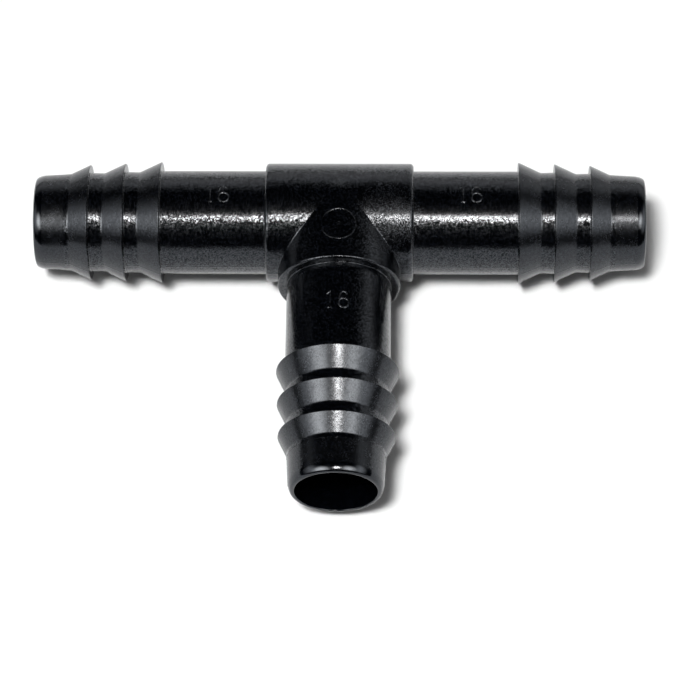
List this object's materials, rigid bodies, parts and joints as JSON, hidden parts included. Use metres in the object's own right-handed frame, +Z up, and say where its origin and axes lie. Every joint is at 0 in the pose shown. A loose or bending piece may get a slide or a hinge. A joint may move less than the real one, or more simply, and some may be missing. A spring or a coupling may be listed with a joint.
{
  "type": "barbed tee connector",
  "caption": "Black plastic tee for push-fit irrigation pipe, with a short round hub and barbed spigots on the run and the branch.",
  "frame": {"origin": "on the surface that the tee lies on, below the middle of its bounding box", "axes": "+X along the run, -Y along the branch towards its open end, +Z up"},
  "size_m": [0.08, 0.0478, 0.016],
  "materials": {
    "black_polypropylene": "fine spark-eroded satin on the hub and plain tubes, smoother on the barbs and noses"
  },
  "bodies": {
    "root": {"tee_hub": "black_polypropylene", "left_barbed_spigot": "black_polypropylene", "right_barbed_spigot": "black_polypropylene", "branch_barbed_spigot": "black_polypropylene"}
  },
  "joints": []
}
